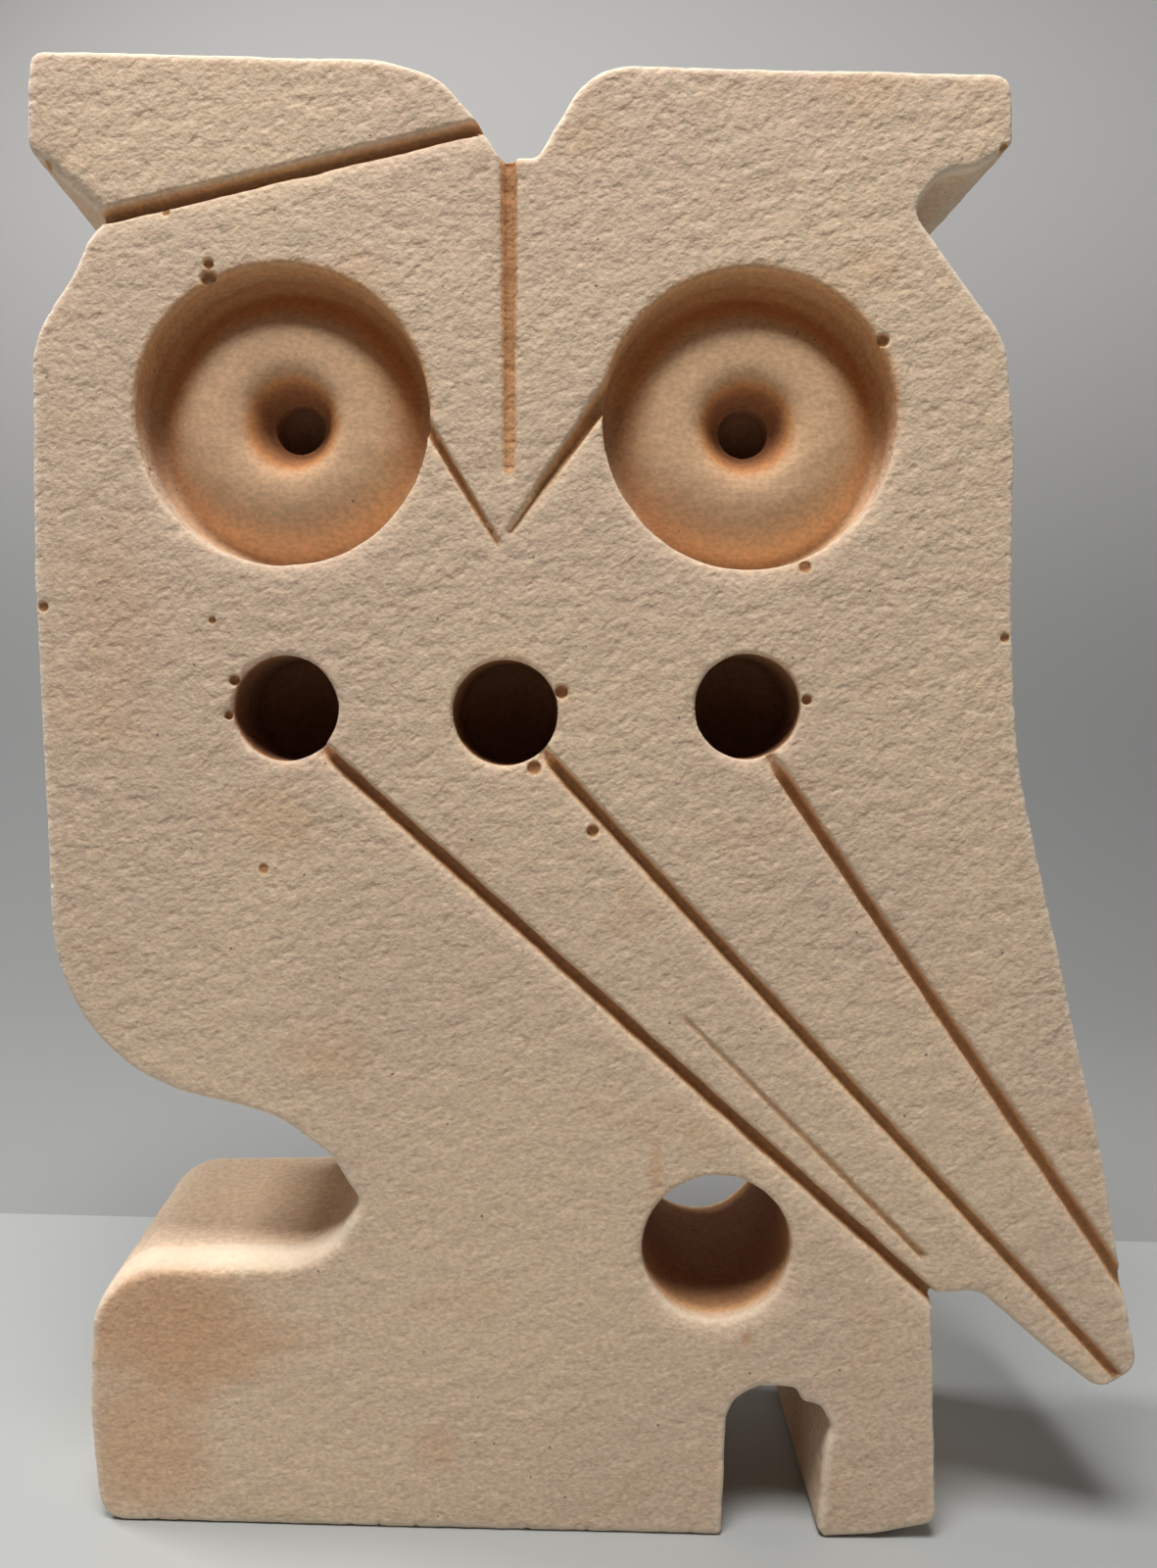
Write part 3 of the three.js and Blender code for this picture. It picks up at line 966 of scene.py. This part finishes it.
def grain_bump(tree, place):
    """Lumps, dents and grit left by the sandblasting, fainter in the eyes and near the sole."""
    slanted = add_node(tree, "ShaderNodeMapping", {
        "Vector": place, "Rotation": (0, SCUFF_TILT, 0)}).outputs["Vector"]
    lumps = noise_field(tree, slanted, 0.5, 3.0, (0.9, 1, 1.15), 0.62)
    hollows = noise_field(tree, slanted, 0.85, 1.0, (0.8, 1, 1.15))
    dents = remap(tree, hollows, 0.48, 0.78, 0.0, -0.24)
    height = add_node(tree, "ShaderNodeMath", {0: lumps, 1: dents}, operation="ADD")
    grit = noise_field(tree, place, 3.0, 2.0, (1, 1, 1), 0.6)

    polish = add_node(tree, "ShaderNodeAttribute", attribute_name="polish").outputs["Fac"]
    upward = add_node(tree, "ShaderNodeSeparateXYZ", {"Vector": place}).outputs["Z"]
    blasted = remap(tree, upward, *SMOOTH_FOOT, 0.6, 1.0)
    matt = remap(tree, polish, 0.0, 1.0, 1.0, 0.15)
    strength = add_node(tree, "ShaderNodeMath", {0: blasted, 1: matt}, operation="MULTIPLY")
    broad = add_node(tree, "ShaderNodeBump", {
        "Height": height.outputs["Value"], "Strength": strength.outputs["Value"],
        "Distance": 0.33 * MM})
    return add_node(tree, "ShaderNodeBump", {
        "Height": grit, "Strength": strength.outputs["Value"], "Distance": 0.08 * MM,
        "Normal": broad.outputs["Normal"]}).outputs["Normal"]


def plain_material(name, colour, roughness):
    material = bpy.data.materials.new(name)
    material.use_nodes = True
    shader = material.node_tree.nodes["Principled BSDF"]
    shader.inputs["Base Color"].default_value = (*colour, 1)
    shader.inputs["Roughness"].default_value = roughness
    return material


def backdrop_material():
    """Grey paper with painted light: lighter towards the top."""
    material = plain_material("backdrop_grey", BACKDROP_SHADED_LOW, 0.8)
    tree = material.node_tree
    height = add_node(tree, "ShaderNodeSeparateXYZ", {
        "Vector": add_node(tree, "ShaderNodeTexCoord").outputs["Object"]}).outputs["Z"]
    # painted light: the colour brightens with height
    colour = mix(tree, remap(tree, height, 0.05, 0.45), BACKDROP_SHADED_LOW, BACKDROP_LIT_HIGH)
    tree.links.new(colour, tree.nodes["Principled BSDF"].inputs["Base Color"])
    return material


# Stage, light and camera

def quad(name, corners, material):
    mesh = bpy.data.meshes.new(name)
    mesh.from_pydata(corners, [], [tuple(range(len(corners)))])
    made = bpy.data.objects.new(name, mesh)
    made.data.materials.append(material)
    bpy.context.scene.collection.objects.link(made)
    return made


def build_stage():
    """A pale floor that ends behind the owl, and a grey backdrop that rises in a curve."""
    side = FLOOR_SIZE / 2
    quad("floor", [(-side, -FLOOR_SIZE, 0), (side, -FLOOR_SIZE, 0), (side, FLOOR_END, 0),
                   (-side, FLOOR_END, 0)], plain_material("floor_pale", FLOOR_COLOUR, 0.6))
    curve_start = BACKDROP_BEHIND - BACKDROP_CURVE
    profile = [(BACKDROP_FRONT, BELOW_FLOOR), (curve_start, BELOW_FLOOR)]
    for k in range(1, BACKDROP_STEPS + 1):
        angle = k / BACKDROP_STEPS * math.pi / 2
        rise = BACKDROP_CURVE * (1 - math.cos(angle))
        profile.append((curve_start + BACKDROP_CURVE * math.sin(angle), BELOW_FLOOR + rise))
    profile.append((BACKDROP_BEHIND, BACKDROP_HEIGHT))
    points = [(x, y, z) for y, z in profile for x in (-BACKDROP_HALF_WIDTH, BACKDROP_HALF_WIDTH)]
    faces = [(2 * k, 2 * k + 1, 2 * k + 3, 2 * k + 2) for k in range(len(profile) - 1)]
    mesh = bpy.data.meshes.new("backdrop")
    mesh.from_pydata(points, [], faces)
    mesh.shade_smooth()
    backdrop = bpy.data.objects.new("backdrop", mesh)
    mesh.materials.append(backdrop_material())
    bpy.context.scene.collection.objects.link(backdrop)


def soft_light(name, place, target, size, power, colour=(1, 1, 1)):
    data = bpy.data.lights.new(name, "AREA")
    data.shape = "RECTANGLE"
    data.size, data.size_y = size
    data.energy = power
    data.color = colour
    light = bpy.data.objects.new(name, data)
    light.location = place
    light.rotation_euler = (Vector(target) - Vector(place)).to_track_quat("-Z", "Y").to_euler()
    bpy.context.scene.collection.objects.link(light)
    return light


def build_lights():
    for name, light in LIGHTS.items():
        soft_light(name, light["place"], AIM, light["size"], light["power"])
    world = bpy.data.worlds.new("studio")
    world.use_nodes = True
    background = world.node_tree.nodes["Background"]
    background.inputs["Color"].default_value = (1, 1, 1, 1)
    background.inputs["Strength"].default_value = SKY
    bpy.context.scene.world = world


def build_camera():
    data = bpy.data.cameras.new("camera")
    data.sensor_width = 36
    data.lens = data.sensor_width * PHOTO_FOCUS / PHOTO_HEIGHT
    data.clip_start = 0.01
    camera = bpy.data.objects.new("camera", data)
    turn = Matrix.Rotation(math.pi / 2 - CAMERA_PITCH, 3, "X") @ Matrix.Rotation(CAMERA_ROLL, 3, "Z")
    camera.location = CAMERA_PLACE
    camera.rotation_euler = turn.to_euler()
    bpy.context.scene.collection.objects.link(camera)
    bpy.context.scene.camera = camera


owl = build_owl()
owl.data.materials.append(stone_material())
build_stage()
build_lights()
build_camera()
bpy.context.scene.view_settings.view_transform = "Standard"
